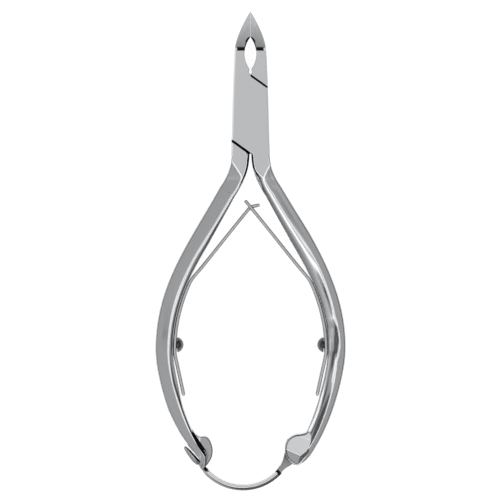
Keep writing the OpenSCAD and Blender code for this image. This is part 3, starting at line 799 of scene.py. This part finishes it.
def latch_bar():
    """Curved bar, neck, thumb tab and hinge ear of the latch, forged in one."""
    inner, outer = (arc(LATCH_CENTRE, LATCH_R + k * LATCH_T / 2, LEFT_SHOULDER, RIGHT_SHOULDER, 120)
                    for k in (-1, 1))
    depth = np.interp(np.linspace(0, 1, 120), [0, 0.035, 0.965, 1], [NECK_D, LATCH_D, LATCH_D, NECK_D])
    piece = blade("latch_bar", inner, outer, BAR_GRIND, depth, 0.05, 180, 22)
    near, far = (arc(LATCH_CENTRE, LATCH_R + k * 0.62, 209, 223, 20) for k in (-1, 1))
    neck = blade("neck", near, far, EAR_GRIND, [NECK_D, NECK_D], 0.1, 60, 16)
    above = [[6.55, -89.1], [7.5, -88.1], [7.95, -87.2], [8.25, -86.1], [8.75, -84.2], [10.5, -82.4]]
    below = [[7.75, -89.9], [8.7, -88.95], [9.5, -88.45], [10.3, -87.9], [11.3, -87.1], [12.2, -84.5]]
    ear = blade("ear", above, below, EAR_GRIND, [NECK_D, NECK_D], 0.12, 50, 16)
    low, high = MID - NECK_D / 2, MID + NECK_D / 2
    barrel = lathe("barrel", [(low, 2.0), (low + 0.2, 2.2), (high - 0.2, 2.2), (high, 2.0)], [*HINGE, 0],
                   [0, 0, 1])
    # The tab is full depth only where the nose's point never passes on its way out
    thick = joined(latch_tab("thick", LATCH_D), [nose_way()], "DIFFERENCE")
    piece = joined(piece, [neck, ear, barrel, latch_tab("thin", NECK_D), thick])
    return joined(piece, [pin("hole", HINGE, PIN_R + PLAY, -1, 7)], "DIFFERENCE")


# ---- materials ----

def linear(code):
    """An sRGB hex colour as linear RGBA."""
    c = np.array([int(code[i:i + 2], 16) for i in (1, 3, 5)]) / 255
    return (*np.where(c <= 0.04045, c / 12.92, ((c + 0.055) / 1.055) ** 2.4), 1.0)


def add(tree, kind, settings=None, **links):
    """One node: its settings by attribute name, and its inputs by name or number as values or sockets."""
    node = tree.nodes.new("ShaderNode" + kind)
    for key, value in (settings or {}).items():
        setattr(node, key, value)
    for key, value in links.items():
        place = int(key[1:]) if key[0] == "i" and key[1:].isdigit() else key.replace("_", " ")
        socket = node.inputs[place]
        if isinstance(value, bpy.types.NodeSocket):
            tree.links.new(value, socket)
        else:
            socket.default_value = value
    return node


def steel(name, colour, dark, rough, spread, grain, lines, bump):
    """Steel worked by abrasives. Its grain is noise stretched along Y, the way the tool was drawn over the
    wheel: grain is the spacing of the scratches in millimetres, lines how much longer than wide they are,
    spread how far roughness varies, and bump how deep they look, in millimetres."""
    material = bpy.data.materials.new(name)
    material.use_nodes = True
    tree = material.node_tree
    tree.nodes.clear()
    place = add(tree, "TexCoord").outputs["Object"]
    scale = 1 / (grain * MM)
    along = add(tree, "Mapping", None, Vector=place, Scale=(scale, scale / lines, scale)).outputs[0]
    scratch = add(tree, "TexNoise", {"noise_dimensions": "3D"}, Vector=along, Scale=1.0, Detail=3.0,
                  Roughness=0.6).outputs["Fac"]
    # Faint clouding, a few millimetres across, where hands and polish have left the surface uneven
    cloud = add(tree, "TexNoise", {"noise_dimensions": "3D"}, Vector=place, Scale=1 / (5 * MM), Detail=2.0,
                Roughness=0.5).outputs["Fac"]
    both = add(tree, "Math", {"operation": "MULTIPLY_ADD"}, i0=cloud, i1=0.6, i2=scratch).outputs[0]
    tone = add(tree, "MapRange", None, Value=both, From_Min=0.45, From_Max=1.15).outputs[0]
    shade = add(tree, "Mix", {"data_type": "RGBA"}, i0=tone, i6=linear(dark), i7=linear(colour)).outputs[2]
    haze = add(tree, "MapRange", None, Value=both, From_Min=0.45, From_Max=1.15, To_Min=rough + spread,
               To_Max=rough - spread).outputs[0]
    relief = add(tree, "Bump", None, Height=scratch, Strength=1.0, Distance=bump * MM).outputs[0]
    shader = add(tree, "BsdfPrincipled", None, Base_Color=shade, Metallic=1.0, Roughness=haze,
                 Normal=relief)
    out = add(tree, "OutputMaterial")
    tree.links.new(shader.outputs[0], out.inputs["Surface"])
    return material


# Martensitic stainless steel, satin finished on a fine belt: an even pale grey with a faint grain
SATIN_STEEL = steel("satin_ground_stainless", "#D0D1D3", "#C8C9CB", 0.22, 0.02, 0.09, 14, 0.0006)
# The same steel fresh from the grinding wheel: darker, with lines that run to the tips
GRIND_STEEL = steel("wheel_ground_stainless", "#C0C1C2", "#A4A5A7", 0.36, 0.04, 0.2, 40, 0.004)
# Painted shade: nearly black, rough steel put on the step, seam walls, gaps, throat edges, trench and latch
# shoulders, where shade falls
PAINTED_SHADE_STEEL = steel("painted_shade_black_steel", "#2A2A2B", "#141415", 0.55, 0.08, 0.35, 1.5, 0.02)
# Forged stainless, bright polished: mirror-like streaks with very fine scratches
POLISHED_STEEL = steel("polished_stainless", "#D6D7D8", "#CDCECF", 0.17, 0.03, 0.07, 8, 0.0008)
# Cold-rolled spring strip: smooth, and a darker grey than the handles
SPRING_STEEL = steel("cold_rolled_spring_steel", "#B2B2B1", "#98989A", 0.26, 0.04, 0.08, 10, 0.001)
# Machine screws of turned steel, darkened by their hardening: deep grey with a soft shine
SCREW_STEEL = steel("blackened_turned_steel", "#77787A", "#545558", 0.3, 0.05, 0.12, 1.2, 0.002)


def finish(piece, node, body, slot, *materials):
    """Puts the piece in the frame in place of the CAD node it stands for."""
    piece.name = piece.data.name = "finished_" + node
    piece.data.materials.clear()
    for material in materials:
        piece.data.materials.append(material)
    weights = piece.modifiers.new("even_normals", "WEIGHTED_NORMAL")
    weights.keep_sharp = True
    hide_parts(node)
    if body:
        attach(piece, body)
    return piece


def faces_of(piece):
    """Centre, in millimetres, and normal of every face."""
    n = len(piece.data.polygons)
    centre, normal = np.zeros(3 * n), np.zeros(3 * n)
    piece.data.polygons.foreach_get("center", centre)
    piece.data.polygons.foreach_get("normal", normal)
    return centre.reshape(-1, 3) / MM, normal.reshape(-1, 3)


def paint_half(piece):
    """Material 1, the wheel's finish, goes on the hollow grind; material 2, painted shade (a nearly black
    steel), goes on the step, the seams' walls, the throat's upper edges and the trench beside the left
    nose, where shade falls."""
    centre, normal = faces_of(piece)
    x, y, z = centre.T
    which = np.zeros(len(x), int)
    which[(y > STEP_Y) & (normal[:, 2] > 0.5)] = 1
    outer = head_side(y) - np.abs(x)
    step = (y > STEP_Y - STEP_DROP - 0.02) & (y < STEP_Y + 0.02) & (z > MID) & (outer > 0.6)
    which[step & (np.abs(normal[:, 2]) > 0.3) & (normal[:, 1] > 0.4)] = 2
    throat = (np.abs(x) < opening(y) + 0.7) & (y > STEP_Y - 0.6) & (y < THROAT_TOP)
    which[throat & (normal[:, 2] < 0.93)] = 2
    seam = (np.abs(normal[:, 2]) < 0.2) & (outer > 0.25) & (y < JAW_SEAM_Y + 0.3) & (y > ROOT[1])
    which[seam & (np.abs(x) < HALF_W - 0.3) & (np.abs(normal[:, 1]) > 0.5)] = 2
    lap = (np.abs(normal[:, 2]) > 0.9) & (np.abs(z - MID) < 0.2) & (np.abs(x) < HALF_W + 0.6)
    which[lap & (y > ROOT[1] - 1)] = 2
    fork = (y < -10.3) & (y > -17.5) & (np.abs(x) < 0.45 + 0.3 * (-10.3 - y)) & (z > 5.2)
    which[fork & (np.abs(normal[:, 2]) < 0.9) & (normal[:, 0] * x < 0)] = 2
    if piece.name == "finished_back_half":
        trench = off_line(centre[:, :2], TRENCH_LEFT)
        inside = (trench > -0.12) & (off_line(centre[:, :2], TRENCH_RIGHT) < 0.1)
        # Painted shade in the trench, by depth: its steep walls and deeper floor take the nearly black
        # material, its shallower floor the darker grey of material 1
        floor = (y < -79.6) & (y > -88.5) & (z > 3.4) & (z < 4.95) & inside
        which[floor & ((np.abs(normal[:, 2]) < 0.45) | (z < 3.98))] = 2
        which[floor & (z >= 3.98) & (z < 4.3) & (normal[:, 2] >= 0.45)] = 1
    piece.data.polygons.foreach_set("material_index", which)


def paint_latch(piece):
    """Material 1, the wheel's finish, goes on the ear and the tab, and material 2, painted shade (a nearly
    black steel), on the slopes down to the necks and on the tab's inner flank, where shade falls."""
    centre, normal = faces_of(piece)
    x, y = centre.T[:2]
    which = np.where((x > 7.0) | (x < -10.9), 1, 0)
    reach = np.hypot(x - LATCH_CENTRE[0], y - LATCH_CENTRE[1])
    angle = np.degrees(np.arctan2(y - LATCH_CENTRE[1], x - LATCH_CENTRE[0])) % 360
    # Painted shade: the nearly black material on the shoulder slopes, the inner side of the left neck and
    # the tab's inner flank
    slope = (angle > RIGHT_SHOULDER - 3.6) & (angle < RIGHT_SHOULDER + 0.3) & (np.abs(normal[:, 2]) < 0.93)
    notch = (angle > LEFT_SHOULDER - 3.5) & (angle < LEFT_SHOULDER + 1.2) & (reach < LATCH_R + 0.15)
    which[(slope | notch) & (np.abs(reach - LATCH_R) < 0.8)] = 2
    which[(x < -12.2) & (normal[:, 0] > 0.3) & (np.abs(normal[:, 2]) < 0.9)] = 2
    piece.data.polygons.foreach_set("material_index", which)


# ---- the scene ----

paint_half(finish(front_half(), "front_half", "front_half", "satin_steel",
                  SATIN_STEEL, GRIND_STEEL, PAINTED_SHADE_STEEL))
paint_half(finish(back_half(), "back_half", "back_half", "satin_steel",
                  SATIN_STEEL, GRIND_STEEL, PAINTED_SHADE_STEEL))
finish(pivot_rivet(), "pivot_rivet", "front_half", "satin_steel", SATIN_STEEL)
finish(latch_pin(), "latch_pin", "front_half", "polished_steel", POLISHED_STEEL)
paint_latch(finish(latch_bar(), "latch_bar", "latch", "polished_steel",
                   POLISHED_STEEL, GRIND_STEEL, PAINTED_SHADE_STEEL))
finish(spring_screw(1), "right_spring_screw", "front_half", "screw_steel", SCREW_STEEL)
finish(spring_screw(-1), "left_spring_screw", "back_half", "screw_steel", SCREW_STEEL)

# Each strip is fixed to its own handle and hooked to the other at the crossing; it lies along its handle up
# to where it lifts off.
# Neither is joined to a body: each keeps one shape, its place baked into its mesh.
left = finish(left_spring(), "left_spring", None, "spring_steel", SPRING_STEEL)
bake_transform(left)
right = finish(right_spring(), "right_spring", None, "spring_steel", SPRING_STEEL)
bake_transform(right)


def floor():
    """Pale floor, lit mostly from within so that only a trace of shadow falls on it."""
    r, z = 0.6, -0.0002
    mesh = bpy.data.meshes.new("floor")
    mesh.from_pydata([(-r, -r, z), (r, -r, z), (r, r, z), (-r, r, z)], [], [(0, 1, 2, 3)])
    stage = bpy.data.objects.new("floor", mesh)
    bpy.context.scene.collection.objects.link(stage)
    material = bpy.data.materials.new("lit_paper")
    material.use_nodes = True
    tree = material.node_tree
    tree.nodes.clear()
    paper = add(tree, "BsdfPrincipled", None, Base_Color=linear("#B4B4B4"), Roughness=0.9,
                Specular_IOR_Level=0.0, Emission_Color=linear("#FFFFFF"), Emission_Strength=0.82)
    tree.links.new(paper.outputs[0], add(tree, "OutputMaterial").inputs["Surface"])
    mesh.materials.append(material)


def studio():
    """A dome whose brightness depends on how far a direction is from straight up: a soft panel overhead
    with a brighter rim, dimmer walls, and a dark band low down. It is lighter on the left and towards
    the handles than on the right and beyond the tips."""
    world = bpy.data.worlds.new("studio")
    bpy.context.scene.world = world
    world.use_nodes = True
    tree = world.node_tree
    tree.nodes.clear()
    way = add(tree, "TexCoord").outputs["Generated"]
    parts = add(tree, "SeparateXYZ", None, Vector=way).outputs
    tilt = add(tree, "Math", {"operation": "ARCCOSINE"}, i0=parts["Z"]).outputs[0]
    share = add(tree, "Math", {"operation": "DIVIDE"}, i0=tilt, i1=np.pi).outputs[0]
    ramp = add(tree, "ValToRGB", None, Fac=share)
    bands = [(0, 0.65), (9, 0.65), (13, 1.7), (28, 1.7), (33, 0.5), (54, 0.48), (60, 0.04), (76, 0.04),
             (82, 1.0), (96, 1.05)]
    elements = ramp.color_ramp.elements
    while len(elements) < len(bands):
        elements.new(0.5)
    for element, (angle, value) in zip(elements, bands):
        element.position = angle / 180
        element.color = (value / 2, value / 2, value / 2, 1)
    low = add(tree, "MapRange", {"interpolation_type": "SMOOTHSTEP"}, Value=share, From_Min=40 / 180,
              From_Max=80 / 180).outputs[0]
    across = add(tree, "Math", {"operation": "MULTIPLY"}, i0=parts["X"], i1=-0.5).outputs[0]
    along = add(tree, "Math", {"operation": "MULTIPLY_ADD"}, i0=parts["Y"], i1=-0.45, i2=across).outputs[0]
    high = add(tree, "MapRange", {"interpolation_type": "SMOOTHSTEP"}, Value=share, From_Min=38 / 180,
               From_Max=28 / 180).outputs[0]
    rim = add(tree, "Math", {"operation": "MULTIPLY"}, i0=parts["Y"], i1=-0.8).outputs[0]
    ahead = add(tree, "Math", {"operation": "MULTIPLY_ADD"}, i0=rim, i1=high, i2=1.0).outputs[0]
    lean = add(tree, "Math", {"operation": "MULTIPLY_ADD"}, i0=along, i1=low, i2=ahead).outputs[0]
    strength = add(tree, "Math", {"operation": "MULTIPLY"}, i0=lean, i1=2.0).outputs[0]
    dome = add(tree, "Background", None, Color=ramp.outputs["Color"], Strength=strength).outputs[0]
    paper = add(tree, "Background", None, Color=(1, 1, 1, 1), Strength=1.05).outputs[0]
    seen = add(tree, "LightPath").outputs["Is Camera Ray"]
    mix = add(tree, "MixShader", None, Fac=seen)
    tree.links.new(dome, mix.inputs[1])
    tree.links.new(paper, mix.inputs[2])
    tree.links.new(mix.outputs[0], add(tree, "OutputWorld").inputs["Surface"])


def camera():
    """Straight above the middle of the tool, far enough away to see it almost without perspective."""
    distance, view_w, sensor = 0.6, 0.125, 36.0
    lens = bpy.data.cameras.new("camera")
    lens.sensor_width = sensor
    lens.lens = sensor * distance / view_w
    lens.clip_start, lens.clip_end = 0.01, 10
    eye = bpy.data.objects.new("camera", lens)
    eye.location = (-0.0001, -0.03425, distance + HEAD_T * MM * 0.6)
    bpy.context.scene.collection.objects.link(eye)
    bpy.context.scene.camera = eye


floor()
studio()
camera()
bpy.context.scene.view_settings.view_transform = "Standard"
